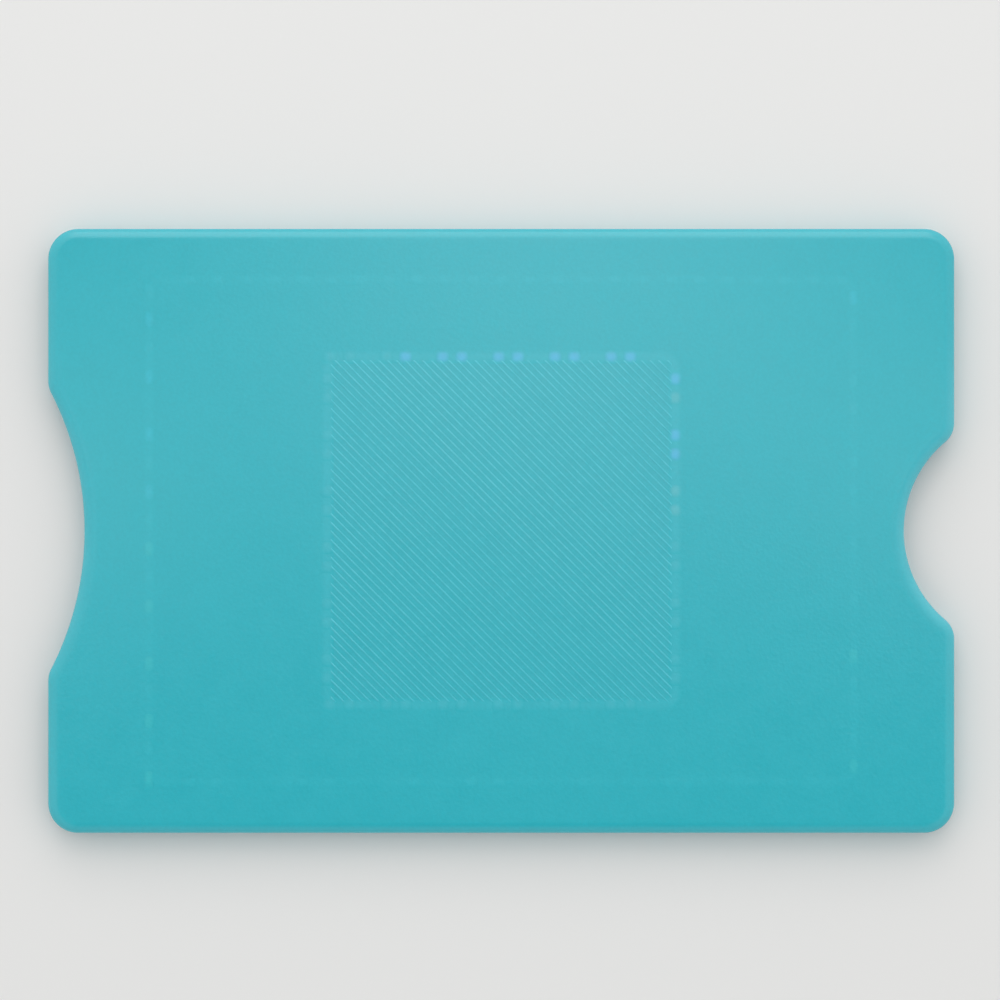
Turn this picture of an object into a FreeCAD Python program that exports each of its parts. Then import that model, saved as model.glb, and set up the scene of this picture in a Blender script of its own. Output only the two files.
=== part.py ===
"""RFID card sleeve: two flat plastic covers welded to a pair of spacer rails, with a slot for one card.

The covers are one moulding used twice, and so are the rails. Each cover is lined with aluminium
shielding foil on an adhesive film, and a square of fine diagonal ink lines is printed on the front.
X runs along the card's travel, with the open mouth at -X and the push notch in the closed end at +X.
Y runs across the sleeve and Z is up. The sleeve lies on its rear cover, and the origin is the centre
of that cover's outer face.
"""

import FreeCAD
import Part
import math
import os
import Sketcher
from FreeCAD import Placement, Rotation, Vector

# Driving dimensions in millimetres. Names that end in share are plain ratios.
SIZES = {
    # Card that the sleeve is made for, with the play that it has in the slot
    "card_length": 85.6,
    "card_width": 53.98,
    "card_thickness": 0.76,
    "card_embossing": 0.48,
    "card_face_gap": 0.16,
    "card_side_gap": 0.51,
    # Walls round the slot
    "cover_wall": 1.0,
    "rail_width": 2.5,
    "stop_wall": 1.6,
    "slot_corner": 1.0,
    # How far the sleeve runs past the seated card at the mouth
    "mouth_margin": 2.8,
    # Outline of the covers and rails, seen from the front
    "corner_radius": 3.0,
    "grip_radius": 30.0,
    "grip_depth": 3.6,
    "notch_radius": 11.5,
    "notch_depth": 5.0,
    "cutout_corner": 2.5,
    # Edges of the covers: a round on the outer face and a bevel on the inner one
    "edge_round": 0.75,
    "edge_round_wall_share": 0.78,
    "inner_bevel": 0.15,
    "inner_bevel_wall_share": 0.2,
    # Rails: a bevel where the card enters, and a low nib that keeps it from rattling
    "rail_bevel": 0.8,
    "nib_setback": 8.0,
    "nib_length": 6.0,
    "nib_play": 0.06,
    # Weld ribs on the rails, the grooves that take them and the melted plastic in the grooves
    "rib_width": 0.7,
    "rib_height": 0.35,
    "rib_fit": 0.05,
    "weld_bead": 0.15,
    "rail_rib_mouth_gap": 5.0,
    "rail_rib_end_gap": 5.0,
    "end_rib_gap": 1.0,
    # Shielding foil and its adhesive film, flush in a recess of each cover
    "foil_thickness": 0.1,
    "film_thickness": 0.05,
    "foil_mouth_gap": 5.0,
    "foil_notch_gap": 2.0,
    "foil_side_gap": 2.0,
    "foil_corner": 2.0,
    "foil_fit": 0.1,
    # Printed square of diagonal lines
    "hatch_side": 33.8,
    "hatch_pitch": 0.613,
    "ink_width": 0.15,
    "ink_height": 0.03,
    # How far a cut runs past the solid that it opens
    "cut_overrun": 4.0,
}

# Dimensions that follow from the driving ones.
DERIVED = {
    "slot_height": "Sizes.card_thickness + Sizes.card_embossing + Sizes.card_face_gap",
    "half_slot": "Sizes.card_width / 2 + Sizes.card_side_gap",
    "half_width": "half_slot + Sizes.rail_width",
    "half_length": "(Sizes.card_length + Sizes.stop_wall + Sizes.mouth_margin) / 2",
    "thickness": "2 * Sizes.cover_wall + slot_height",
    "stop_face": "half_length - Sizes.stop_wall",
    "outer_round": "min(Sizes.edge_round; Sizes.edge_round_wall_share * Sizes.cover_wall)",
    "inner_chamfer": "min(Sizes.inner_bevel; Sizes.inner_bevel_wall_share * Sizes.cover_wall)",
    "grip_floor": "-half_length + Sizes.grip_depth",
    "notch_floor": "half_length - Sizes.notch_depth",
    "notch_half_mouth": "sqrt(Sizes.notch_depth * (2 * Sizes.notch_radius - Sizes.notch_depth))",
    "nib_x": "-half_length + Sizes.nib_setback",
    "nib_height": "Sizes.card_side_gap - Sizes.nib_play",
    "rail_rib_y": "half_slot + Sizes.rail_width / 2",
    "end_rib_x": "stop_face + Sizes.stop_wall / 2",
    "end_rib_inner": "notch_half_mouth + Sizes.cutout_corner + Sizes.end_rib_gap",
    "end_rib_outer": "half_slot - Sizes.end_rib_gap",
    "groove_width": "Sizes.rib_width + 2 * Sizes.rib_fit",
    "groove_depth": "Sizes.rib_height + Sizes.weld_bead",
    "foil_left": "grip_floor + Sizes.foil_mouth_gap",
    "foil_right": "notch_floor - Sizes.foil_notch_gap",
    "foil_half_width": "half_slot - Sizes.foil_side_gap",
    "recess_depth": "Sizes.foil_thickness + Sizes.film_thickness",
}

# Distance within which an edge or face counts as lying on a given plane.
ON_PLANE = 1e-4
FACE_DOWN = Rotation(Vector(1, 0, 0), 180)


def add_sheet(doc, name, cells):
    """Make a spreadsheet with one aliased row for each cell."""
    sheet = doc.addObject("Spreadsheet::Sheet", name)
    for row, (alias, text) in enumerate(cells.items(), start=1):
        sheet.set(f"A{row}", alias)
        sheet.set(f"B{row}", text)
        sheet.setAlias(f"B{row}", alias)
    doc.recompute()


def add_body(doc, label):
    """Make an empty body whose label names the sub-part."""
    body = doc.addObject("PartDesign::Body", label)
    body.Label = label
    return body


def turn_over(body):
    """Lay a body that was modelled for the rear half face down in the front half."""
    body.Placement = Placement(Vector(0, 0, 0), FACE_DOWN)
    body.setExpression("Placement.Base.z", "Derived.thickness")


def add_sketch(body, name, height="0"):
    """Attach a sketch to the body's XY plane, raised by a height."""
    sketch = body.newObject("Sketcher::SketchObject", name)
    plane = next(item for item in body.Origin.OriginFeatures if item.Role == "XY_Plane")
    sketch.AttachmentSupport = [(plane, "")]
    sketch.MapMode = "FlatFace"
    sketch.setExpression("AttachmentOffset.Base.z", height)
    return sketch


def evaluate(sketch, *expressions):
    """Give the present values of expressions, to draw geometry where its constraints will hold it."""
    return [float(sketch.evalExpression(expression)) for expression in expressions]


def pin(sketch, kind, geometry, expression):
    """Add a dimension to a sketch and bind it to an expression."""
    constraint = Sketcher.Constraint(kind, *geometry, *evaluate(sketch, expression))
    index = sketch.addConstraint(constraint)
    sketch.setExpression(f"Constraints[{index}]", expression)


def pin_point(sketch, geometry, point, x=None, y=None):
    """Fix a point's distance from the sketch origin along X, along Y or both."""
    if x is not None:
        pin(sketch, "DistanceX", (-1, 1, geometry, point), x)
    if y is not None:
        pin(sketch, "DistanceY", (-1, 1, geometry, point), y)


def draw_rectangle(sketch, left, right, low, high):
    """Draw a rectangle whose four sides are given by expressions."""
    x_left, x_right, y_low, y_high = evaluate(sketch, left, right, low, high)
    corners = [
        Vector(x_left, y_low, 0),
        Vector(x_right, y_low, 0),
        Vector(x_right, y_high, 0),
        Vector(x_left, y_high, 0),
    ]
    sides = [
        sketch.addGeometry(Part.LineSegment(corners[i], corners[(i + 1) % 4]), False)
        for i in range(4)
    ]
    for i, side in enumerate(sides):
        sketch.addConstraint(Sketcher.Constraint("Coincident", side, 2, sides[(i + 1) % 4], 1))
        sketch.addConstraint(Sketcher.Constraint("Vertical" if i % 2 else "Horizontal", side))
    pin_point(sketch, sides[0], 1, x=left, y=low)
    pin_point(sketch, sides[2], 1, x=right, y=high)


def draw_rounded_rectangle(sketch, left, right, low, high, radius):
    """Draw a rectangle with four equal corner arcs, its sides and radius given by expressions."""
    x_left, x_right, y_low, y_high, r = evaluate(sketch, left, right, low, high, radius)
    runs = [
        (Vector(x_left + r, y_low, 0), Vector(x_right - r, y_low, 0)),
        (Vector(x_right, y_low + r, 0), Vector(x_right, y_high - r, 0)),
        (Vector(x_right - r, y_high, 0), Vector(x_left + r, y_high, 0)),
        (Vector(x_left, y_high - r, 0), Vector(x_left, y_low + r, 0)),
    ]
    centres = [
        Vector(x_right - r, y_low + r, 0),
        Vector(x_right - r, y_high - r, 0),
        Vector(x_left + r, y_high - r, 0),
        Vector(x_left + r, y_low + r, 0),
    ]
    quarter = math.pi / 2
    sides = [sketch.addGeometry(Part.LineSegment(*run), False) for run in runs]
    arcs = []
    for i, centre in enumerate(centres):
        circle = Part.Circle(centre, Vector(0, 0, 1), r)
        arc = Part.ArcOfCircle(circle, (i - 1) * quarter, i * quarter)
        arcs.append(sketch.addGeometry(arc, False))
    for i in range(4):
        sketch.addConstraint(Sketcher.Constraint("Tangent", sides[i], 2, arcs[i], 1))
        sketch.addConstraint(Sketcher.Constraint("Tangent", arcs[i], 2, sides[(i + 1) % 4], 1))
        sketch.addConstraint(Sketcher.Constraint("Vertical" if i % 2 else "Horizontal", sides[i]))
    for arc in arcs[1:]:
        sketch.addConstraint(Sketcher.Constraint("Equal", arcs[0], arc))
    pin(sketch, "Radius", (arcs[0],), radius)
    pin_point(sketch, sides[0], 1, y=low)
    pin_point(sketch, sides[1], 1, x=right)
    pin_point(sketch, sides[2], 1, y=high)
    pin_point(sketch, sides[3], 1, x=left)


def draw_circle(sketch, x, radius):
    """Draw a circle centred on the sketch's X axis."""
    x_centre, size = evaluate(sketch, x, radius)
    circle = Part.Circle(Vector(x_centre, 0, 0), Vector(0, 0, 1), size)
    index = sketch.addGeometry(circle, False)
    pin(sketch, "Radius", (index,), radius)
    pin_point(sketch, index, 3, x=x, y="0")


def draw_hanging_arch(sketch, middle, top, width, drop):
    """Draw a circle segment that bulges towards -Y from a level chord."""
    x, y, chord, depth = evaluate(sketch, middle, top, width, drop)
    left = Vector(x - chord / 2, y, 0)
    right = Vector(x + chord / 2, y, 0)
    arc = sketch.addGeometry(Part.Arc(left, Vector(x, y - depth, 0), right), False)
    level = sketch.addGeometry(Part.LineSegment(right, left), False)
    sketch.addConstraint(Sketcher.Constraint("Coincident", arc, 2, level, 1))
    sketch.addConstraint(Sketcher.Constraint("Coincident", level, 2, arc, 1))
    pin_point(sketch, level, 1, x=f"{middle} + {width} / 2", y=top)
    pin_point(sketch, level, 2, x=f"{middle} - {width} / 2", y=top)
    pin(sketch, "Radius", (arc,), f"({width} ^ 2 / 4 + {drop} ^ 2) / (2 * {drop})")


def draw_weld_runs(sketch, width, sides=("", "-")):
    """Draw the straight weld runs, one on the rail and one on the end wall of each side."""
    for sign in sides:
        draw_rectangle(
            sketch,
            "-Derived.half_length + Sizes.rail_rib_mouth_gap",
            "Derived.half_length - Sizes.rail_rib_end_gap",
            f"{sign}Derived.rail_rib_y - {width} / 2",
            f"{sign}Derived.rail_rib_y + {width} / 2",
        )
        ends = [f"{sign}Derived.end_rib_inner", f"{sign}Derived.end_rib_outer"]
        low, high = reversed(ends) if sign else ends
        draw_rectangle(
            sketch,
            f"Derived.end_rib_x - {width} / 2",
            f"Derived.end_rib_x + {width} / 2",
            low,
            high,
        )


def draw_foil_outline(sketch, margin):
    """Draw the shielding foil's outline, widened by a margin all round."""
    draw_rounded_rectangle(
        sketch,
        f"Derived.foil_left - {margin}",
        f"Derived.foil_right + {margin}",
        f"-Derived.foil_half_width - {margin}",
        f"Derived.foil_half_width + {margin}",
        f"Sizes.foil_corner + {margin}",
    )


def add_pad(body, sketch, name, length):
    """Extrude a sketch upwards."""
    pad = body.newObject("PartDesign::Pad", name)
    pad.Profile = sketch
    pad.setExpression("Length", length)
    body.Document.recompute()
    return pad


def add_pocket(body, sketch, name, depth=None):
    """Cut a sketch down into the body, right through if no depth is given."""
    volume = body.Shape.Volume
    pocket = body.newObject("PartDesign::Pocket", name)
    pocket.Profile = sketch
    if depth is None:
        pocket.Type = "ThroughAll"
    else:
        pocket.setExpression("Length", depth)
    body.Document.recompute()
    if body.Shape.Volume >= volume:
        raise RuntimeError(f"{body.Label}: {name} cuts nothing")
    return pocket


def add_fillet(body, name, base, elements, radius):
    """Round edges, or all the edges of a face, of an earlier feature."""
    fillet = body.newObject("PartDesign::Fillet", name)
    fillet.Base = (base, elements)
    fillet.setExpression("Radius", radius)
    body.Document.recompute()
    return fillet


def add_chamfer(body, name, base, elements, size):
    """Bevel edges, or all the edges of a face, of an earlier feature."""
    chamfer = body.newObject("PartDesign::Chamfer", name)
    chamfer.Base = (base, elements)
    chamfer.setExpression("Size", size)
    body.Document.recompute()
    return chamfer


def is_upright(edge):
    """Say whether an edge is a straight line along Z."""
    return isinstance(edge.Curve, Part.Line) and abs(abs(edge.Curve.Direction.z) - 1) < ON_PLANE


def cutout_mouth_edges(shape, radii):
    """Name the upright edges where the round cut-outs open through the ends."""
    walls = [
        face
        for face in shape.Faces
        if isinstance(face.Surface, Part.Cylinder)
        and any(math.isclose(face.Surface.Radius, radius) for radius in radii)
    ]
    mouths = [edge for wall in walls for edge in wall.Edges if is_upright(edge)]
    return [
        f"Edge{number}"
        for number, edge in enumerate(shape.Edges, start=1)
        if any(edge.isSame(mouth) for mouth in mouths)
    ]


def mouth_edge_of_side(shape, y):
    """Name the upright edge nearest the mouth among those on a plane across Y."""
    on_side = [
        (edge.Vertexes[0].X, f"Edge{number}")
        for number, edge in enumerate(shape.Edges, start=1)
        if is_upright(edge) and abs(edge.Vertexes[0].Y - y) < ON_PLANE
    ]
    return [min(on_side)[1]]


def level_face_at(shape, height):
    """Name the flat face that lies at a height."""
    return [
        f"Face{number}"
        for number, face in enumerate(shape.Faces, start=1)
        if max(abs(face.BoundBox.ZMin - height), abs(face.BoundBox.ZMax - height)) < ON_PLANE
    ]


def add_outlined_plate(body, bottom, thickness):
    """Start a body with a plate of the sleeve's outline: round corners and the two finger cut-outs."""
    sizes = body.Document.Sizes
    outline = add_sketch(body, "outline", bottom)
    draw_rounded_rectangle(
        outline,
        "-Derived.half_length",
        "Derived.half_length",
        "-Derived.half_width",
        "Derived.half_width",
        "Sizes.corner_radius",
    )
    add_pad(body, outline, "plate", thickness)
    circles = add_sketch(body, "circles", f"{bottom} + {thickness}")
    draw_circle(circles, "Derived.grip_floor - Sizes.grip_radius", "Sizes.grip_radius")
    draw_circle(circles, "Derived.notch_floor + Sizes.notch_radius", "Sizes.notch_radius")
    opened = add_pocket(body, circles, "finger_cutouts")
    mouths = cutout_mouth_edges(opened.Shape, (sizes.grip_radius, sizes.notch_radius))
    return add_fillet(body, "cutout_corners", opened, mouths, "Sizes.cutout_corner")


def make_cover(doc, label):
    """Cover: a thin plate, round-edged outside, with a foil recess and weld grooves inside."""
    body = add_body(doc, label)
    plate = add_outlined_plate(body, "0", "Sizes.cover_wall")
    outer_face = level_face_at(plate.Shape, 0)
    rounded = add_fillet(body, "outer_edge", plate, outer_face, "Derived.outer_round")
    inner_face = level_face_at(rounded.Shape, doc.Sizes.cover_wall)
    add_chamfer(body, "inner_edge", rounded, inner_face, "Derived.inner_chamfer")
    recess = add_sketch(body, "recess", "Sizes.cover_wall")
    draw_foil_outline(recess, "Sizes.foil_fit")
    add_pocket(body, recess, "foil_recess", "Derived.recess_depth")
    grooves = add_sketch(body, "grooves", "Sizes.cover_wall")
    draw_weld_runs(grooves, "Derived.groove_width")
    add_pocket(body, grooves, "weld_grooves", "Derived.groove_depth")
    return body


def make_rail(doc, label):
    """Rail: an L of one side wall and half of the end wall, with weld ribs above and below."""
    top = "Sizes.cover_wall + Derived.slot_height"
    body = add_body(doc, label)
    add_outlined_plate(body, "Sizes.cover_wall", "Derived.slot_height")

    slot = add_sketch(body, "slot", top)
    draw_rounded_rectangle(
        slot,
        "-Derived.half_length - Sizes.cut_overrun",
        "Derived.stop_face",
        "-Derived.half_slot",
        "Derived.half_slot",
        "Sizes.slot_corner",
    )
    add_pocket(body, slot, "card_slot")
    other_half = add_sketch(body, "other_half", top)
    draw_rectangle(
        other_half,
        "-Derived.half_length - Sizes.cut_overrun",
        "Derived.half_length + Sizes.cut_overrun",
        "-Derived.half_width - Sizes.cut_overrun",
        "0",
    )
    half = add_pocket(body, other_half, "one_half")
    entry = mouth_edge_of_side(half.Shape, doc.Derived.half_slot)
    add_chamfer(body, "card_entry", half, entry, "Sizes.rail_bevel")

    nib = add_sketch(body, "nib_outline", "Sizes.cover_wall")
    draw_hanging_arch(nib, "Derived.nib_x", "Derived.half_slot", "Sizes.nib_length", "Derived.nib_height")
    add_pad(body, nib, "nib", "Derived.slot_height")
    for name, bottom in (("rear_ribs", "Sizes.cover_wall - Sizes.rib_height"), ("front_ribs", top)):
        ribs = add_sketch(body, f"{name}_outline", bottom)
        draw_weld_runs(ribs, "Sizes.rib_width", sides=("",))
        add_pad(body, ribs, name, "Sizes.rib_height")
    return body


def make_layer(doc, label, bottom, thickness, draw, *sizes):
    """Make a flat piece: an outline drawn at a height and given a thickness."""
    body = add_body(doc, label)
    outline = add_sketch(body, "outline", bottom)
    draw(outline, *sizes)
    add_pad(body, outline, "layer", thickness)
    return body


def make_half_linings(doc, side):
    """Make what lies between a cover and the slot: weld beads, foil and the film that holds the foil."""
    groove_floor = "Sizes.cover_wall - Derived.groove_depth"
    recess_floor = "Sizes.cover_wall - Derived.recess_depth"
    foil_bottom = "Sizes.cover_wall - Sizes.foil_thickness"
    return [
        make_layer(
            doc,
            f"{side}_weld_beads",
            groove_floor,
            "Sizes.weld_bead",
            draw_weld_runs,
            "Derived.groove_width",
        ),
        make_layer(doc, f"{side}_foil_film", recess_floor, "Sizes.film_thickness", draw_foil_outline, "0"),
        make_layer(doc, f"{side}_shield_foil", foil_bottom, "Sizes.foil_thickness", draw_foil_outline, "0"),
    ]


def make_hatch_print(doc):
    """Raised ink lines at 45 degrees, each cut off by the sides of a square on the front cover."""
    sizes = doc.Sizes
    half_diagonal = sizes.hatch_side / math.sqrt(2)
    lines_each_side = int((half_diagonal - sizes.ink_width) / sizes.hatch_pitch + 0.5)
    lines = []
    for number in range(-lines_each_side, lines_each_side):
        middle = (number + 0.5) * sizes.hatch_pitch
        low = middle - sizes.ink_width / 2
        high = middle + sizes.ink_width / 2
        reach_low = half_diagonal - abs(low)
        reach_high = half_diagonal - abs(high)
        corners = [
            Vector(-reach_low, low, 0),
            Vector(reach_low, low, 0),
            Vector(reach_high, high, 0),
            Vector(-reach_high, high, 0),
        ]
        strip = Part.Face(Part.makePolygon(corners + corners[:1]))
        lines.append(strip.extrude(Vector(0, 0, sizes.ink_height)))
    hatch = doc.addObject("Part::Feature", "hatch_print")
    hatch.Label = "hatch_print"
    hatch.Shape = Part.makeCompound(lines)
    hatch.Placement = Placement(Vector(0, 0, doc.Derived.thickness), Rotation(Vector(0, 0, 1), -45))
    return hatch


def check_document(doc, pieces):
    """Stop if any object failed to build or any sub-part has no sound solid."""
    for item in doc.Objects:
        if "Invalid" in item.State or "Error" in item.State:
            raise RuntimeError(f"{item.Label} failed: {item.State}")
    for piece in pieces:
        shape = piece.Shape
        if shape.isNull() or not shape.isValid() or not shape.Solids:
            raise RuntimeError(f"{piece.Label} has no valid solid")


def main():
    doc = FreeCAD.newDocument("card_sleeve")
    add_sheet(doc, "Sizes", {alias: str(size) for alias, size in SIZES.items()})
    add_sheet(doc, "Derived", {alias: f"={formula}" for alias, formula in DERIVED.items()})

    rear_pieces = [
        make_cover(doc, "rear_cover"),
        make_rail(doc, "left_rail"),
        *make_half_linings(doc, "rear"),
    ]
    front_pieces = [
        make_cover(doc, "front_cover"),
        make_rail(doc, "right_rail"),
        *make_half_linings(doc, "front"),
    ]
    for piece in front_pieces:
        turn_over(piece)
    pieces = rear_pieces + front_pieces + [make_hatch_print(doc)]

    doc.recompute()
    check_document(doc, pieces)
    os.makedirs("parts", exist_ok=True)
    for piece in pieces:
        piece.Shape.exportStep(f"parts/{piece.Label}.step")
        print(f"{piece.Label}: {len(piece.Shape.Solids)} solid(s), {piece.Shape.Volume:.2f} mm3")


if __name__ == "__main__":
    main()
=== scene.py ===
import math

import bmesh
import bpy
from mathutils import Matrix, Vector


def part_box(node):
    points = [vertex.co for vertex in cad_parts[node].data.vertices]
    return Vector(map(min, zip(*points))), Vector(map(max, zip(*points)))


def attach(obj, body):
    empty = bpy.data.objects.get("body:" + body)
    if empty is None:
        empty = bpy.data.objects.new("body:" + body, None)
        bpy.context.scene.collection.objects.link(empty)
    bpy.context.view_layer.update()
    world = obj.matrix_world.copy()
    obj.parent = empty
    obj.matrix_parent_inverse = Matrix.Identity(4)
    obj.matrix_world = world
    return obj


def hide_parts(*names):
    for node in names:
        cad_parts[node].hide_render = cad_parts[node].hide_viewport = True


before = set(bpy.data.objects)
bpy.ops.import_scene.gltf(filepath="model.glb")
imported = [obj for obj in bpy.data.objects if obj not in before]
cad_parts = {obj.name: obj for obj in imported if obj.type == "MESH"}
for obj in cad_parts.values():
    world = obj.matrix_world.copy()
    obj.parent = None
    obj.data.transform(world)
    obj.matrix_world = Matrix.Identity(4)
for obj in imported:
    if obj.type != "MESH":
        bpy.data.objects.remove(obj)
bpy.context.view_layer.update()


# Camera: straight above the sleeve with a long lens, the push notch to the right.
# The photograph's frame is 99.1 mm wide at the front face, and the sleeve sits a
# little below its middle.
SLEEVE_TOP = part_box("front_cover")[1].z
VIEW_WIDTH = 0.0991
VIEW_MIDDLE = (-0.00012, 0.00307)
LENS = 120.0
SENSOR = 36.0
camera_data = bpy.data.cameras.new("camera")
camera_data.lens = LENS
camera_data.sensor_width = SENSOR
camera_data.clip_start = 0.01
camera_data.clip_end = 10.0
camera = bpy.data.objects.new("camera", camera_data)
camera.location = (*VIEW_MIDDLE, SLEEVE_TOP + VIEW_WIDTH * LENS / SENSOR)
bpy.context.scene.collection.objects.link(camera)
bpy.context.scene.camera = camera


# Covers: one injection-moulded plate of teal plastic used twice, outer faces to the
# outside. The mould is spark-eroded, which leaves a fine matt grain, and the edge
# rolls off softly. Each has a foil recess and weld grooves on its inner face.
HALF_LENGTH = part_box("rear_cover")[1].x
HALF_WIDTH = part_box("rear_cover")[1].y
COVER_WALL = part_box("rear_cover")[1].z
CORNER = 0.0030
CUTOUT_CORNER = 0.0025
GRIP_RADIUS = 0.0300
GRIP_DEPTH = 0.0036
NOTCH_RADIUS = 0.0115
NOTCH_DEPTH = 0.0050
CHORD_ERROR = 0.000002
LEAST_ARC_STEPS = 4
RUN_STEP = 0.003
EDGE_ROLL = (0.00115, 0.00078)
EDGE_SOFTNESS = 2.15
EDGE_STEPS = 20
RIM_WIDTH = 0.0016
# How strongly the rim is painted lighter as a highlight: along the sides, and more round each
# finger cut-out.
SIDE_HIGHLIGHT = 0.30
NOTCH_HIGHLIGHT = 1.0
GRIP_HIGHLIGHT = 0.64
HIGHLIGHT_MIDDLE_Y = 0.002
HIGHLIGHT_REACH = (0.011, 0.018)
SEAM_BEVEL = 0.00015
SHARP_ANGLE = 30
RECESS_DEPTH = 0.00015
RECESS_FIT = 0.0001
RECESS_CORNER = 0.0021
GROOVE_DEPTH = 0.0005
SIDE_GROOVES = ((-0.040, 0.040, 0.02835, 0.02915), (-0.040, 0.040, -0.02915, -0.02835))
END_GROOVES = ((0.0438, 0.0446, 0.01299, 0.0265), (0.0438, 0.0446, -0.0265, -0.01299))
TEAL = (0.0107, 0.440, 0.522)
# The paler teal below is painted along the edge roll as a highlight.
RIM_HIGHLIGHT_TEAL = (0.081, 0.515, 0.607)


def arc(x, y, radius, start, end, hollow=False):
    """Points along an arc, its angles in degrees, each with the direction into the plastic."""
    turn = math.radians(end - start)
    longest_step = 2 * math.acos(1 - CHORD_ERROR / radius)
    steps = max(LEAST_ARC_STEPS, math.ceil(abs(turn) / longest_step))
    inward = 1 if hollow else -1
    points = []
    for step in range(steps + 1):
        angle = math.radians(start) + turn * step / steps
        u, v = math.cos(angle), math.sin(angle)
        points.append((x + radius * u, y + radius * v, inward * u, inward * v))
    return points


def cover_end(radius, depth):
    """The outline's +X end, from the lower corner round a finger cut-out to the upper one."""
    lip_x = HALF_LENGTH - CUTOUT_CORNER
    middle_x = HALF_LENGTH - depth + radius
    rise = math.sqrt((radius + CUTOUT_CORNER) ** 2 - (middle_x - lip_x) ** 2)
    lean = math.degrees(math.atan2(rise, middle_x - lip_x))
    corner_x = HALF_LENGTH - CORNER
    corner_y = HALF_WIDTH - CORNER
    return (
        arc(corner_x, -corner_y, CORNER, 270, 360)
        + arc(lip_x, -rise, CUTOUT_CORNER, 0, lean)
        + arc(middle_x, 0, radius, 180 + lean, 180 - lean, hollow=True)[1:-1]
        + arc(lip_x, rise, CUTOUT_CORNER, -lean, 0)
        + arc(corner_x, corner_y, CORNER, 0, 90)
    )


def divide_runs(points):
    """The same closed outline with its long straight runs cut into short ones."""
    divided = []
    for here, there in zip(points, points[1:] + points[:1]):
        parts = max(1, round(math.dist(here[:2], there[:2]) / RUN_STEP))
        for part in range(parts):
            share = part / parts
            divided.append(tuple(a + (b - a) * share for a, b in zip(here, there)))
    return divided


grip_end = [tuple(-value for value in point) for point in cover_end(GRIP_RADIUS, GRIP_DEPTH)]
cover_outline = divide_runs(cover_end(NOTCH_RADIUS, NOTCH_DEPTH) + grip_end)


def lay_ring(mesh, outline, inset, height):
    """A closed ring of points at a height, an outline moved into the plastic by an inset."""
    return [mesh.verts.new((x + inset * u, y + inset * v, height)) for x, y, u, v in outline]


def join_rings(mesh, first, second):
    """Quads between two closed rings of equally many points."""
    for place in range(len(first)):
        after = (place + 1) % len(first)
        mesh.faces.new((first[place], first[after], second[after], second[place]))


def ring_edges(mesh, ring):
    """The edges of a closed ring of points."""
    return [mesh.edges.get((a, b)) for a, b in zip(ring, ring[1:] + ring[:1])]


def sink_pocket(mesh, outline, top, depth):
    """A pocket's walls and floor, from its outline. Gives the ring at its mouth."""
    mouth = lay_ring(mesh, outline, 0.0, top)
    floor = lay_ring(mesh, outline, 0.0, top - depth)
    join_rings(mesh, mouth, floor)
    mesh.faces.new(floor)
    return mouth


def rounded_box(left, right, low, high, radius):
    """The outline of a rectangle with round corners."""
    return (
        arc(right - radius, high - radius, radius, 0, 90)
        + arc(left + radius, high - radius, radius, 90, 180)
        + arc(left + radius, low + radius, radius, 180, 270)
        + arc(right - radius, low + radius, radius, 270, 360)
    )


def make_piece(name, mesh, material, slot, *nodes):
    """A mesh made into a smooth-shaded piece of the sleeve, in place of any CAD nodes named."""
    mesh.normal_update()
    bmesh.ops.recalc_face_normals(mesh, faces=mesh.faces)
    data = bpy.data.meshes.new(name)
    mesh.to_mesh(data)
    mesh.free()
    data.polygons.foreach_set("use_smooth", [True] * len(data.polygons))
    data.set_sharp_from_angle(angle=math.radians(SHARP_ANGLE))
    data.materials.append(material)
    piece = bpy.data.objects.new(name, data)
    bpy.context.scene.collection.objects.link(piece)
    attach(piece, "root")
    if nodes:
        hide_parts(*nodes)


def rim_highlight_amount(x, y):
    """How much painted highlight the rim gets at a place, up to 1: most round the two finger
    cut-outs.
    """
    most = SIDE_HIGHLIGHT
    for end_x, end_highlight in ((HALF_LENGTH, NOTCH_HIGHLIGHT), (-HALF_LENGTH, GRIP_HIGHLIGHT)):
        away = math.dist((x, y), (end_x, HIGHLIGHT_MIDDLE_Y))
        near = (HIGHLIGHT_REACH[1] - away) / (HIGHLIGHT_REACH[1] - HIGHLIGHT_REACH[0])
        most = max(most, SIDE_HIGHLIGHT + (end_highlight - SIDE_HIGHLIGHT) * min(near, 1.0))
    return most


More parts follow.
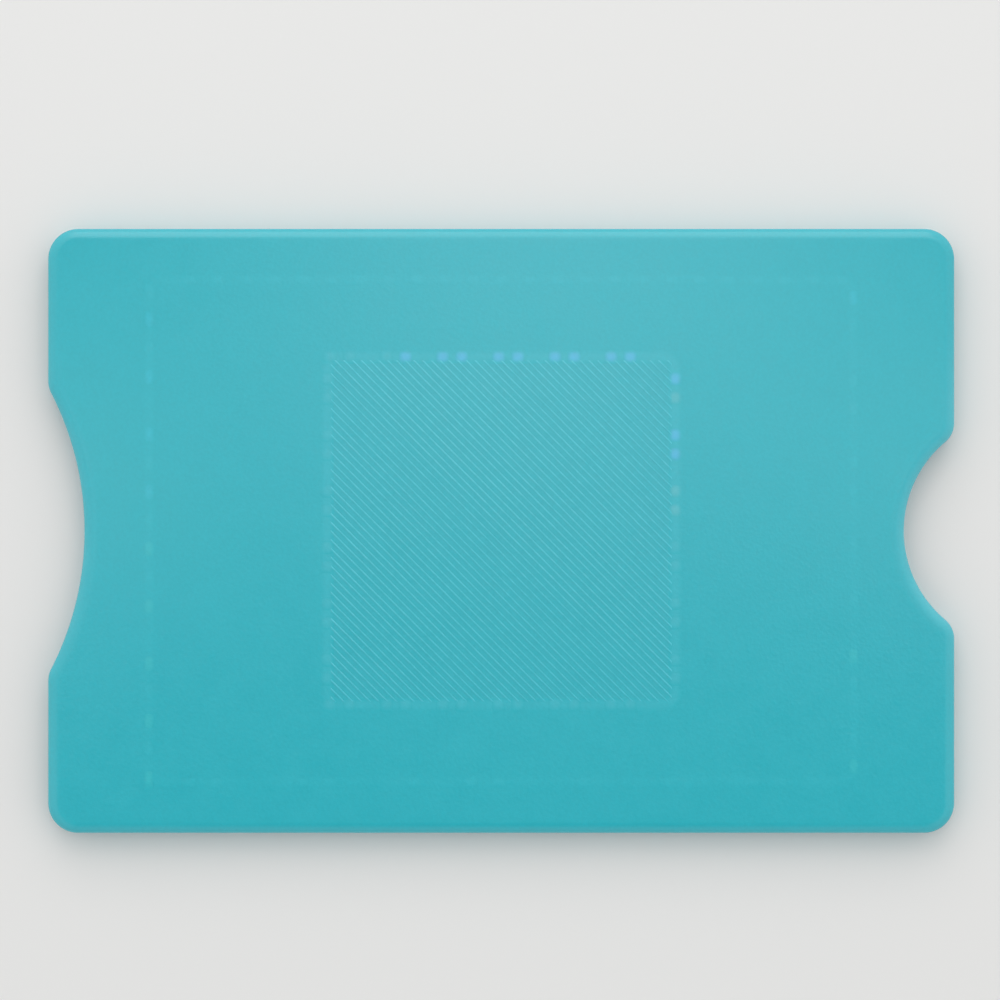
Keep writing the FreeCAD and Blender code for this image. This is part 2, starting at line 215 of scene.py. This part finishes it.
def cover_mesh(face_up):
    """A cover as it lies on its outer face, or turned over into the sleeve's front."""
    mesh = bmesh.new()
    # The rim attribute carries the share of painted highlight near the edge.
    rim = mesh.verts.layers.float.new("rim")
    profile = [(RIM_WIDTH, 0.0)]
    for step in range(EDGE_STEPS + 1):
        roll = math.pi / 2 * step / EDGE_STEPS
        out = math.sin(roll) ** (2 / EDGE_SOFTNESS)
        down = 1 - abs(math.cos(roll)) ** (2 / EDGE_SOFTNESS)
        profile.append((EDGE_ROLL[0] * (1 - out), EDGE_ROLL[1] * down))
    profile.append((0.0, COVER_WALL - SEAM_BEVEL))
    profile.append((SEAM_BEVEL, COVER_WALL))
    rings = []
    for inset, height in profile:
        ring = lay_ring(mesh, cover_outline, inset, height)
        for point in ring:
            point[rim] = (1 - inset / RIM_WIDTH) * rim_highlight_amount(point.co.x, point.co.y)
        rings.append(ring)
    for first, second in zip(rings, rings[1:]):
        join_rings(mesh, first, second)
    mesh.faces.new(rings[0])
    foil_low, foil_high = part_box("rear_shield_foil")
    foil_outline = rounded_box(
        foil_low.x - RECESS_FIT,
        foil_high.x + RECESS_FIT,
        foil_low.y - RECESS_FIT,
        foil_high.y + RECESS_FIT,
        RECESS_CORNER,
    )
    mouths = [sink_pocket(mesh, foil_outline, COVER_WALL, RECESS_DEPTH)]
    for left, right, low, high in SIDE_GROOVES + END_GROOVES:
        corners = ((left, low), (right, low), (right, high), (left, high))
        groove = [(x, y, 0, 0) for x, y in corners]
        mouths.append(sink_pocket(mesh, groove, COVER_WALL, GROOVE_DEPTH))
    edges = []
    for ring in [rings[-1]] + mouths:
        edges += ring_edges(mesh, ring)
    bmesh.ops.triangle_fill(mesh, use_beauty=True, edges=edges)
    if face_up:
        for point in mesh.verts:
            point.co.z = SLEEVE_TOP - point.co.z
    return mesh


def add(tree, kind, **settings):
    """A shader node with its settings and its plain input values."""
    made = tree.nodes.new(kind)
    for key, value in settings.items():
        if key.startswith("in_"):
            made.inputs[key[3:].replace("_", " ")].default_value = value
        else:
            setattr(made, key, value)
    return made


def maths(tree, kind, first, second=0.0, third=0.0):
    """A Math node of that kind on sockets or plain numbers."""
    made = add(tree, "ShaderNodeMath", operation=kind)
    for place, value in enumerate((first, second, third)):
        if isinstance(value, (int, float)):
            made.inputs[place].default_value = value
        else:
            tree.links.new(value, made.inputs[place])
    return made.outputs[0]


def spread(tree, value, low, high, start=0.0, end=1.0):
    """A value's range from start to end, stretched from low to high."""
    made = add(tree, "ShaderNodeMapRange", in_From_Min=start, in_From_Max=end)
    made.inputs["To Min"].default_value = low
    made.inputs["To Max"].default_value = high
    tree.links.new(value, made.inputs["Value"])
    return made.outputs["Result"]


def effect(name, inputs, outputs):
    """An empty shader node group with named float inputs and outputs."""
    tree = bpy.data.node_groups.new(name, "ShaderNodeTree")
    for label, value in inputs.items():
        socket = tree.interface.new_socket(label, in_out="INPUT", socket_type="NodeSocketFloat")
        socket.default_value = value
    for label in outputs:
        tree.interface.new_socket(label, in_out="OUTPUT", socket_type="NodeSocketFloat")
    entry = tree.nodes.new("NodeGroupInput")
    result = tree.nodes.new("NodeGroupOutput")
    return tree, entry.outputs, result.inputs


def finish_of(name):
    """A new material with its tree and its Principled shader."""
    material = bpy.data.materials.new(name)
    material.use_nodes = True
    return material, material.node_tree, material.node_tree.nodes["Principled BSDF"]


def place_effect(tree, group, **values):
    """A shared effect placed in a material, with its own values. Gives its outputs."""
    made = tree.nodes.new("ShaderNodeGroup")
    made.node_tree = group
    for label, value in values.items():
        made.inputs[label.replace("_", " ")].default_value = value
    return made.outputs


def paint_over(tree, below, colour, share):
    """A colour laid over another, by a share that changes over the surface."""
    mixed = add(tree, "ShaderNodeMix", data_type="VECTOR")
    factor, lower, upper = mixed.inputs[0], mixed.inputs[4], mixed.inputs[5]
    if isinstance(below, tuple):
        lower.default_value = below
    else:
        tree.links.new(below, lower)
    upper.default_value = colour
    tree.links.new(share, factor)
    return mixed.outputs[1]


def dress(material, *names):
    """Gives CAD nodes their finish."""
    for name in names:
        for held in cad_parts[name].material_slots:
            held.material = material


GRAIN_SIZE = 0.0003
CLOUD_SIZE = 0.0025
CRATER_BOWL = 2.0
CRATER_SHARE = 0.5
FLECK_SHADE = (0.91, 1.09)
CLOUD_SHADE = (0.97, 1.03)
CLOUD_GLOSS = 0.05
PLASTIC_IOR = 1.585
PLASTIC_SPECULAR = 0.65
spark_grain, grain_in, grain_out = effect(
    "spark_grain",
    {"Grain Size": GRAIN_SIZE, "Cloud Size": CLOUD_SIZE},
    ("Height", "Fleck", "Cloud"),
)
grain_at = add(spark_grain, "ShaderNodeTexCoord").outputs["Object"]
grain_scale = maths(spark_grain, "DIVIDE", 1.0, grain_in["Grain Size"])
cloud_scale = maths(spark_grain, "DIVIDE", 1.0, grain_in["Cloud Size"])
craters = add(spark_grain, "ShaderNodeTexVoronoi")
fine = add(spark_grain, "ShaderNodeTexNoise", in_Detail=4.0, in_Roughness=0.6)
cloud = add(spark_grain, "ShaderNodeTexNoise", in_Detail=5.0, in_Roughness=0.65)
for texture, scale in ((craters, grain_scale), (fine, grain_scale), (cloud, cloud_scale)):
    spark_grain.links.new(grain_at, texture.inputs["Vector"])
    spark_grain.links.new(scale, texture.inputs["Scale"])
bowls = maths(spark_grain, "POWER", craters.outputs["Distance"], CRATER_BOWL)
pits = maths(spark_grain, "MULTIPLY_ADD", bowls, CRATER_SHARE, fine.outputs["Fac"])
spark_grain.links.new(pits, grain_out["Height"])
spark_grain.links.new(fine.outputs["Fac"], grain_out["Fleck"])
spark_grain.links.new(cloud.outputs["Fac"], grain_out["Cloud"])


def moulded(name, colour, roughness, grain, depth, over=()):
    """Matt moulded plastic: flecked, faintly clouded colour over a spark-eroded grain.

    The colour is three numbers, or the name of a colour attribute of the mesh. Over it lie
    other colours, each with the effect and the mask that give its share."""
    material, tree, shader = finish_of(name)
    grained = place_effect(tree, spark_grain, Grain_Size=grain)
    shade = maths(
        tree,
        "MULTIPLY",
        spread(tree, grained["Fleck"], *FLECK_SHADE),
        spread(tree, grained["Cloud"], *CLOUD_SHADE),
    )
    if isinstance(colour, str):
        colour = add(tree, "ShaderNodeAttribute", attribute_name=colour).outputs["Color"]
    for laid, group, mask in over:
        colour = paint_over(tree, colour, laid, place_effect(tree, group)[mask])
    tint = add(tree, "ShaderNodeVectorMath", operation="SCALE")
    if isinstance(colour, tuple):
        tint.inputs[0].default_value = colour
    else:
        tree.links.new(colour, tint.inputs[0])
    tree.links.new(shade, tint.inputs["Scale"])
    tree.links.new(tint.outputs["Vector"], shader.inputs["Base Color"])
    gloss = spread(tree, grained["Cloud"], roughness - CLOUD_GLOSS, roughness + CLOUD_GLOSS)
    tree.links.new(gloss, shader.inputs["Roughness"])
    bump = add(tree, "ShaderNodeBump", in_Distance=depth)
    tree.links.new(grained["Height"], bump.inputs["Height"])
    tree.links.new(bump.outputs["Normal"], shader.inputs["Normal"])
    shader.inputs["IOR"].default_value = PLASTIC_IOR
    shader.inputs["Specular IOR Level"].default_value = PLASTIC_SPECULAR
    return material


# A painted highlight along the covers' rim: a paler teal in patches, strongest at the very edge
# and fading inwards.
HIGHLIGHT_PATCH = 0.004
HIGHLIGHT_FADE = 1.5
HIGHLIGHT_STRENGTH = (0.2, 1.4)
painted_rim_highlight, rim_in, rim_out = effect("painted_rim_highlight", {"Patch Size": HIGHLIGHT_PATCH}, ("Painted Highlight",))
rim_at = add(painted_rim_highlight, "ShaderNodeTexCoord").outputs["Object"]
rim_patches = add(painted_rim_highlight, "ShaderNodeTexNoise", in_Detail=4.0)
painted_rim_highlight.links.new(rim_at, rim_patches.inputs["Vector"])
painted_rim_highlight.links.new(
    maths(painted_rim_highlight, "DIVIDE", 1.0, rim_in["Patch Size"]),
    rim_patches.inputs["Scale"],
)
rim_reach = add(painted_rim_highlight, "ShaderNodeAttribute", attribute_name="rim").outputs["Fac"]
rim_highlight_share = maths(
    painted_rim_highlight,
    "MULTIPLY",
    maths(painted_rim_highlight, "POWER", rim_reach, HIGHLIGHT_FADE),
    spread(painted_rim_highlight, rim_patches.outputs["Fac"], *HIGHLIGHT_STRENGTH),
)
painted_rim_highlight.links.new(rim_highlight_share, rim_out["Painted Highlight"])

HATCH_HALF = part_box("hatch_print")[1].x
HATCH_PITCH = 0.000613
HATCH_HAZE = (0.0180, 0.440, 0.522)
HATCH_FLANK = (0.0167, 0.420, 0.498)
HAZE_SOFTNESS = 0.0001
FLANK_REACH = (0.00011, 0.00024)
hatch_field, field_in, field_out = effect(
    "hatch_field",
    {"Pitch": HATCH_PITCH},
    ("Haze", "Flank"),
)
field_at = add(hatch_field, "ShaderNodeTexCoord").outputs["Object"]
field_place = add(hatch_field, "ShaderNodeSeparateXYZ")
hatch_field.links.new(field_at, field_place.inputs["Vector"])
field_x, field_y = field_place.outputs["X"], field_place.outputs["Y"]
field_away = maths(
    hatch_field,
    "MAXIMUM",
    maths(hatch_field, "ABSOLUTE", field_x),
    maths(hatch_field, "ABSOLUTE", field_y),
)
field_haze = spread(
    hatch_field,
    field_away,
    1.0,
    0.0,
    HATCH_HALF - HAZE_SOFTNESS,
    HATCH_HALF + HAZE_SOFTNESS,
)
field_across = maths(hatch_field, "ADD", field_x, field_y)
field_across = maths(hatch_field, "MULTIPLY", field_across, math.sqrt(0.5))
field_lines = maths(hatch_field, "DIVIDE", field_across, field_in["Pitch"])
field_off = maths(hatch_field, "SUBTRACT", maths(hatch_field, "FRACT", field_lines), 0.5)
field_off = maths(hatch_field, "ABSOLUTE", field_off)
field_off = maths(hatch_field, "MULTIPLY", field_off, field_in["Pitch"])
field_flank = spread(hatch_field, field_off, 1.0, 0.0, *FLANK_REACH)
hatch_field.links.new(field_haze, field_out["Haze"])
field_flank = maths(hatch_field, "MULTIPLY", field_haze, field_flank)
hatch_field.links.new(field_flank, field_out["Flank"])

COVER_FINISH = {"colour": TEAL, "roughness": 0.24, "grain": 0.00033, "depth": 0.000007}
# Both covers get the paler teal painted along the rim as a highlight.
RIM_HIGHLIGHT_LAYER = (RIM_HIGHLIGHT_TEAL, painted_rim_highlight, "Painted Highlight")
make_piece(
    "rear_cover_moulding",
    cover_mesh(face_up=False),
    moulded("cover_teal", over=(RIM_HIGHLIGHT_LAYER,), **COVER_FINISH),
    "cover_plastic",
    "rear_cover",
)
HATCH_LAYERS = ((HATCH_HAZE, hatch_field, "Haze"), (HATCH_FLANK, hatch_field, "Flank"))
make_piece(
    "front_cover_moulding",
    cover_mesh(face_up=True),
    moulded("cover_teal_printed", over=(RIM_HIGHLIGHT_LAYER,) + HATCH_LAYERS, **COVER_FINISH),
    "cover_plastic",
    "front_cover",
)


# Foil films: clear acrylic adhesive on a carrier, rolled down in each cover's recess.
# A few small air bubbles and thin patches stay in it.
FILM_TINT = (0.74, 0.73, 0.66)
FILM_SHADE = (0.88, 1.10)
FILM_ROUGHNESS = (0.20, 0.45)
FILM_CLOUD_SCALE = 160.0
BUBBLE_SCALE = 450.0
BUBBLE_REACH = (0.05, 0.25)
BUBBLE_HEIGHT = 0.00001
film, film_tree, film_shader = finish_of("adhesive_film")
film_at = add(film_tree, "ShaderNodeTexCoord").outputs["Object"]
bubbles = add(film_tree, "ShaderNodeTexVoronoi", in_Scale=BUBBLE_SCALE)
film_cloud = add(film_tree, "ShaderNodeTexNoise", in_Scale=FILM_CLOUD_SCALE, in_Detail=3.0)
for texture in (bubbles, film_cloud):
    film_tree.links.new(film_at, texture.inputs["Vector"])
film_tint = add(film_tree, "ShaderNodeVectorMath", operation="SCALE")
film_tint.inputs[0].default_value = FILM_TINT
film_tree.links.new(
    spread(film_tree, film_cloud.outputs["Fac"], *FILM_SHADE),
    film_tint.inputs["Scale"],
)
film_tree.links.new(film_tint.outputs["Vector"], film_shader.inputs["Base Color"])
film_tree.links.new(
    spread(film_tree, film_cloud.outputs["Fac"], *FILM_ROUGHNESS),
    film_shader.inputs["Roughness"],
)
film_bump = add(film_tree, "ShaderNodeBump", in_Distance=BUBBLE_HEIGHT)
film_tree.links.new(
    spread(film_tree, bubbles.outputs["Distance"], 1.0, 0.0, *BUBBLE_REACH),
    film_bump.inputs["Height"],
)
film_tree.links.new(film_bump.outputs["Normal"], film_shader.inputs["Normal"])
dress(film, "front_foil_film", "rear_foil_film")


# Shield foils: soft aluminium sheet, bright from the rolls, stuck flush in the recesses.
# Rolling leaves fine lines along it, and laying it down leaves a few shallow creases.
FOIL_TINT = (0.83, 0.84, 0.85)
FOIL_SHADE = (0.90, 1.08)
FOIL_ROUGHNESS = (0.30, 0.46)
ROLL_LINES = (50.0, 6000.0, 50.0)
ROLL_SHARE = 0.05
SWAY_SCALE = 180.0
CREASE_SWAY = (0.004, 0.004, 0.0)
CREASE_SCALE = 110.0
CREASE_REACH = 0.10
CREASE_SHARE = 0.6
CREASE_HEIGHT = 0.00003
foil, foil_tree, foil_shader = finish_of("shield_foil")
foil_at = add(foil_tree, "ShaderNodeTexCoord").outputs["Object"]
rolled = add(foil_tree, "ShaderNodeVectorMath", operation="MULTIPLY")
rolled.inputs[1].default_value = ROLL_LINES
roll_lines = add(foil_tree, "ShaderNodeTexNoise", in_Scale=1.0, in_Detail=2.0)
sway = add(foil_tree, "ShaderNodeTexNoise", in_Scale=SWAY_SCALE, in_Detail=2.0)
swayed = add(foil_tree, "ShaderNodeVectorMath", operation="MULTIPLY_ADD")
swayed.inputs[1].default_value = CREASE_SWAY
creases = add(foil_tree, "ShaderNodeTexVoronoi", feature="DISTANCE_TO_EDGE", in_Scale=CREASE_SCALE)
foil_tree.links.new(foil_at, rolled.inputs[0])
foil_tree.links.new(rolled.outputs["Vector"], roll_lines.inputs["Vector"])
foil_tree.links.new(foil_at, sway.inputs["Vector"])
foil_tree.links.new(sway.outputs["Color"], swayed.inputs[0])
foil_tree.links.new(foil_at, swayed.inputs[2])
foil_tree.links.new(swayed.outputs["Vector"], creases.inputs["Vector"])
foil_tint = add(foil_tree, "ShaderNodeVectorMath", operation="SCALE")
foil_tint.inputs[0].default_value = FOIL_TINT
foil_tree.links.new(
    spread(foil_tree, roll_lines.outputs["Fac"], *FOIL_SHADE),
    foil_tint.inputs["Scale"],
)
foil_tree.links.new(foil_tint.outputs["Vector"], foil_shader.inputs["Base Color"])
foil_tree.links.new(
    spread(foil_tree, roll_lines.outputs["Fac"], *FOIL_ROUGHNESS),
    foil_shader.inputs["Roughness"],
)
foil_relief = maths(
    foil_tree,
    "MULTIPLY_ADD",
    spread(foil_tree, creases.outputs["Distance"], 1.0, 0.0, 0.0, CREASE_REACH),
    CREASE_SHARE,
    maths(foil_tree, "MULTIPLY", roll_lines.outputs["Fac"], ROLL_SHARE),
)
foil_bump = add(foil_tree, "ShaderNodeBump", in_Distance=CREASE_HEIGHT)
foil_tree.links.new(foil_relief, foil_bump.inputs["Height"])
foil_tree.links.new(foil_bump.outputs["Normal"], foil_shader.inputs["Normal"])
foil_shader.inputs["Metallic"].default_value = 1.0
dress(foil, "front_shield_foil", "rear_shield_foil")


# Rails: two L-shaped spacer mouldings of the same plastic, plainer and smoother than
# the covers, welded between them. The mould's edges are broken slightly.
RAIL_FINISH = {"colour": TEAL, "roughness": 0.36, "grain": 0.0004, "depth": 0.000008}
RAIL_BREAK = 0.00006
BREAK_ANGLE = 40
dress(moulded("rail_teal", **RAIL_FINISH), "left_rail", "right_rail")
for name in ("left_rail", "right_rail"):
    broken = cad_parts[name].modifiers.new("broken_edges", "BEVEL")
    broken.width = RAIL_BREAK
    broken.segments = 2
    broken.limit_method = "ANGLE"
    broken.angle_limit = math.radians(BREAK_ANGLE)


# Weld beads: plastic of the rails' ribs that melted and set in the covers' grooves,
# deeper in colour and glossy, with slow ripples from the flow.
MELTED_TEAL = (0.0085, 0.35, 0.42)
WELD_FINISH = {"colour": MELTED_TEAL, "roughness": 0.18, "grain": 0.0012, "depth": 0.00002}
dress(moulded("weld_teal", **WELD_FINISH), "front_weld_beads", "rear_weld_beads")


# Hatch print: fine slanting lines of pale teal ink, screen-printed in a square on the
# front cover. The wet ink rounds each line and thins its ends.
PRINT_FACE, INK_TOP = (corner.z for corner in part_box("hatch_print"))
INK_WIDTH = 0.00015
INK_RUN_OUT = 0.00025
LINE_INK = (0.055, 0.542, 0.643)
LINE_FINISH = {"colour": LINE_INK, "roughness": 0.24, "grain": 0.0002, "depth": 0.000006}
LINE_ROUND = (
    (-1.0, 0.0),
    (-0.94, 0.5),
    (-0.82, 0.82),
    (-0.62, 0.96),
    (-0.35, 1.0),
    (0.0, 1.0),
)
LINE_ROUND += tuple((-reach, height) for reach, height in LINE_ROUND[-2::-1])
LINE_ENDS = ((0.0, 0.1), (0.3, 0.6), (1.0, 1.0))


def hatch_mesh():
    """Every line of the hatch as a low rounded bead of ink, cut off by the square's sides."""
    mesh = bmesh.new()
    half_diagonal = HATCH_HALF * math.sqrt(2)
    each_side = int((half_diagonal - INK_WIDTH) / HATCH_PITCH + 0.5)
    turn = math.sqrt(0.5)
    for number in range(-each_side, each_side):
        middle = (number + 0.5) * HATCH_PITCH
        reach = half_diagonal - abs(middle)
        run_out = min(INK_RUN_OUT, reach / 3)
        sections = []
        for side, ends in ((-1, LINE_ENDS), (1, LINE_ENDS[::-1])):
            for back, fullness in ends:
                section = []
                for across, height in LINE_ROUND:
                    t = middle + across * INK_WIDTH / 2
                    s = side * (half_diagonal - abs(t) - back * run_out)
                    z = PRINT_FACE + (INK_TOP - PRINT_FACE) * height * fullness
                    section.append(mesh.verts.new((turn * (s + t), turn * (t - s), z)))
                sections.append(section)
        for first, second in zip(sections, sections[1:]):
            join_rings(mesh, first, second)
        mesh.faces.new(sections[0])
        mesh.faces.new(sections[-1])
    return mesh


FLOW_PATCH = 0.0009
THIN_FROM = (0.4, 0.75)
THINNEST = 0.6
ink_flow, flow_in, flow_out = effect("ink_flow", {"Patch Size": FLOW_PATCH}, ("Thin",))
flow_at = add(ink_flow, "ShaderNodeTexCoord").outputs["Object"]
flow_scale = maths(ink_flow, "DIVIDE", 1.0, flow_in["Patch Size"])
flow_patches = add(ink_flow, "ShaderNodeTexNoise", in_Detail=4.0, in_Roughness=0.6)
flow_thin = spread(ink_flow, flow_patches.outputs["Fac"], 0.0, THINNEST, *THIN_FROM)
ink_flow.links.new(flow_at, flow_patches.inputs["Vector"])
ink_flow.links.new(flow_scale, flow_patches.inputs["Scale"])
ink_flow.links.new(flow_thin, flow_out["Thin"])

make_piece(
    "hatch_lines",
    hatch_mesh(),
    moulded("hatch_ink", over=((TEAL, ink_flow, "Thin"),), **LINE_FINISH),
    "print_ink",
    "hatch_print",
)


# Guide prints: a pale strip of thin ink round the hatched square with pairs of soft
# dots on it, bluish where the ink is strongest and almost gone elsewhere, and a larger
# frame of dashes, fainter still. All are screen-printed like the hatch.
STRIP_HALF = 0.01725
STRIP_WIDTH = 0.0013
STRIP_LIFT = 0.000002
STRIP_STEPS = ((-1.0, -1.0), (-1.0, 0.05), (-0.7, 0.35), (-0.35, 0.85), (0.0, 1.0))
STRIP_STEPS += tuple((-reach, share) for reach, share in STRIP_STEPS[-2::-1])
STRIP_INK = (0.0232, 0.461, 0.547)
BLUISH, PALE, FAINT, NONE = "bpf."
DOT_INKS = {
    BLUISH: (0.075, 0.491, 0.729),
    PALE: (0.075, 0.491, 0.562),
    FAINT: (0.0340, 0.468, 0.554),
}
DOT_SIZE = (0.0017, 0.0014)
DOT_SPACING = 0.00190
DOT_PITCH = 0.00557
DOT_PAIRS = 6
DOT_MIDDLE = (0.0007 - DOT_PITCH / 2, 0.0002)
DOT_LIFT = 0.000010
DOT_SIDES = 28
DOT_RINGS = (
    (0.25, 0.93),
    (0.45, 0.74),
    (0.65, 0.40),
    (0.82, 0.14),
    (1.0, 0.02),
    (1.0, -0.5),
)
FRAME_HALF = (0.0349, 0.0249)
FRAME_INK = (0.0126, 0.450, 0.533)
DASH_INKS = {
    BLUISH: (0.0205, 0.487, 0.592),
    PALE: (0.0245, 0.487, 0.551),
    FAINT: (0.0165, 0.466, 0.551),
}
DASH_SIZE = (0.0024, 0.0012)
DASH_LIFT = STRIP_LIFT * 2
SQUARENESS = 2.6


def thinned(ink, share):
    """The ink's colour over the cover's, at a strength up to 1, or none below the face."""
    strength = max(share, 0.0)
    return tuple(a + (b - a) * strength for a, b in zip(TEAL, ink)) + (1.0,)


def print_strip(name, half_x, half_y, ink):
    """A soft-edged strip of thin ink along a rectangle's sides."""
    mesh = bmesh.new()
    tint = mesh.verts.layers.float_color.new("tint")
    outline = rounded_box(-half_x, half_x, -half_y, half_y, STRIP_WIDTH)
    rings = []
    for reach, share in STRIP_STEPS:
        ring = lay_ring(mesh, outline, STRIP_WIDTH / 2 * reach, PRINT_FACE + STRIP_LIFT * share)
        for point in ring:
            point[tint] = thinned(ink, share)
        rings.append(ring)
    for first, second in zip(rings, rings[1:] + rings[:1]):
        join_rings(mesh, first, second)
    make_piece(name, mesh, guide_ink, "print_ink")


def print_spot(mesh, tint, x, y, size, ink, lift):
    """A soft-edged spot of ink, slightly domed, size being its reach in X and in Y."""
    top = mesh.verts.new((x, y, PRINT_FACE + lift))
    top[tint] = thinned(ink, 1.0)
    rings = []
    for reach, share in DOT_RINGS:
        ring = []
        for side in range(DOT_SIDES):
            angle = 2 * math.pi * side / DOT_SIDES
            u, v = math.cos(angle), math.sin(angle)
            square = abs(u) ** SQUARENESS + abs(v) ** SQUARENESS
            bulge = reach / 2 * square ** (-1 / SQUARENESS)
            height = PRINT_FACE + lift * share
            place = (x + size[0] * bulge * u, y + size[1] * bulge * v, height)
            point = mesh.verts.new(place)
            point[tint] = thinned(ink, share)
            ring.append(point)
        rings.append(ring)
    for side in range(DOT_SIDES):
        mesh.faces.new((top, rings[0][side], rings[0][(side + 1) % DOT_SIDES]))
    for first, second in zip(rings, rings[1:]):
        join_rings(mesh, first, second)
    mesh.faces.new(rings[-1])


guide_ink = moulded("guide_ink", **(COVER_FINISH | {"colour": "tint"}))
print_strip("guide_strip", STRIP_HALF, STRIP_HALF, STRIP_INK)
print_strip("guide_frame", *FRAME_HALF, FRAME_INK)

dot_mesh = bmesh.new()
dot_tint = dot_mesh.verts.layers.float_color.new("tint")
for states, middle, fixed, upright in (
    ("fffbbbbbbbbb", DOT_MIDDLE[0], STRIP_HALF, False),
    ("ffffffffffff", DOT_MIDDLE[0], -STRIP_HALF, False),
    ("ffffffppbbpb", DOT_MIDDLE[1], STRIP_HALF, True),
    ("ffffffffffff", DOT_MIDDLE[1], -STRIP_HALF, True),
):
    for number, state in enumerate(states):
        pair, which = divmod(number, 2)
        run = middle + (pair - (DOT_PAIRS - 1) / 2) * DOT_PITCH + (which - 0.5) * DOT_SPACING
        x, y = (fixed, run) if upright else (run, fixed)
        size = DOT_SIZE[::-1] if upright else DOT_SIZE
        print_spot(dot_mesh, dot_tint, x, y, size, DOT_INKS[state], DOT_LIFT)
make_piece("guide_dots", dot_mesh, guide_ink, "print_ink")

dash_mesh = bmesh.new()
dash_tint = dash_mesh.verts.layers.float_color.new("tint")
for states, start, pitch, fixed, upright in (
    ("ffffffffffffffffffffffff", -0.0309, 0.00281, FRAME_HALF[1], False),
    ("ff..ff..f.ff..f..f..ff..", -0.0310, 0.00279, -FRAME_HALF[1], False),
    ("pfpfp.pfpfbfb.bfbf", -0.0245, 0.00284, -FRAME_HALF[0], True),
    ("pf.fp.f.f.ff.ff.fb", -0.0233, 0.00273, FRAME_HALF[0], True),
):
    for number, state in enumerate(states):
        if state == NONE:
            continue
        run = start + number * pitch
        x, y = (fixed, run) if upright else (run, fixed)
        size = DASH_SIZE[::-1] if upright else DASH_SIZE
        print_spot(dash_mesh, dash_tint, x, y, size, DASH_INKS[state], DASH_LIFT)
make_piece("guide_dashes", dash_mesh, guide_ink, "print_ink")


# Floor and light: a pale table inside an even light tent with a dim opening overhead,
# drawn out to the bottom edge. A wide soft box and three small ones above it give the
# sheen by their reflections, and one beyond the top edge brightens that side.
FLOOR_HALF = 1.5
FLOOR_DROP = 0.00005
PALE_TABLE = (0.80, 0.80, 0.79, 1.0)
TENT_TOP = 0.15
TENT_WALL = 0.885
TENT_SLOPE = 0.24
TENT_HOLE = (0.172, 0.327)
HOLE_DRAW = 0.4
floor_mesh = bmesh.new()
bmesh.ops.create_grid(floor_mesh, x_segments=8, y_segments=8, size=FLOOR_HALF)
floor_data = bpy.data.meshes.new("floor")
floor_mesh.to_mesh(floor_data)
floor_mesh.free()
floor = bpy.data.objects.new("floor", floor_data)
floor.location.z = -FLOOR_DROP
bpy.context.scene.collection.objects.link(floor)
floor_finish, _, floor_shader = finish_of("pale_table")
floor_shader.inputs["Base Color"].default_value = PALE_TABLE
floor_shader.inputs["Roughness"].default_value = 0.7
floor_data.materials.append(floor_finish)


def soft_box(name, at, width, height, glow):
    """A rectangular soft box of an even brightness, aimed at the sleeve."""
    data = bpy.data.lights.new(name, "AREA")
    data.shape = "RECTANGLE"
    data.size = width
    data.size_y = height
    data.energy = math.pi * width * height * glow
    lamp = bpy.data.objects.new(name, data)
    lamp.location = at
    lamp.rotation_mode = "QUATERNION"
    lamp.rotation_quaternion = (-lamp.location).to_track_quat("-Z", "Y")
    lamp.visible_camera = False
    bpy.context.scene.collection.objects.link(lamp)


soft_box("over_top", (0.0145, 0.099, 0.60), width=0.15, height=0.20, glow=1.45)
soft_box("over_left", (-0.137, 0.004, 0.60), width=0.045, height=0.045, glow=5.0)
soft_box("over_right", (0.124, 0.010, 0.60), width=0.045, height=0.045, glow=4.0)
soft_box("over_bottom", (0.008, -0.058, 0.60), width=0.06, height=0.06, glow=0.6)
soft_box("beyond_top", (0.0, 0.26, 0.24), width=0.30, height=0.30, glow=0.9)
tent = bpy.data.worlds.new("light_tent")
tent.use_nodes = True
tent_tree = tent.node_tree
tent_at = add(tent_tree, "ShaderNodeTexCoord").outputs["Generated"]
tent_way = add(tent_tree, "ShaderNodeSeparateXYZ")
tent_tree.links.new(tent_at, tent_way.inputs["Vector"])
way_x, way_y = tent_way.outputs["X"], tent_way.outputs["Y"]
tent_wall = maths(tent_tree, "MULTIPLY_ADD", way_y, TENT_SLOPE, TENT_WALL - TENT_TOP)
hole_y = maths(tent_tree, "MAXIMUM", way_y, maths(tent_tree, "MULTIPLY", way_y, -HOLE_DRAW))
hole_y_square = maths(tent_tree, "MULTIPLY", hole_y, hole_y)
hole_square = maths(tent_tree, "MULTIPLY_ADD", way_x, way_x, hole_y_square)
hole_away = maths(tent_tree, "SQRT", hole_square)
hole_rim = spread(tent_tree, hole_away, 0.0, 1.0, *TENT_HOLE)
tent_glow = maths(tent_tree, "MULTIPLY_ADD", hole_rim, tent_wall, TENT_TOP)
backdrop = tent_tree.nodes["Background"]
tent_tree.links.new(tent_glow, backdrop.inputs["Strength"])
backdrop.inputs["Color"].default_value = (1.0, 1.0, 1.0, 1.0)
bpy.context.scene.world = tent
bpy.context.scene.view_settings.view_transform = "Standard"
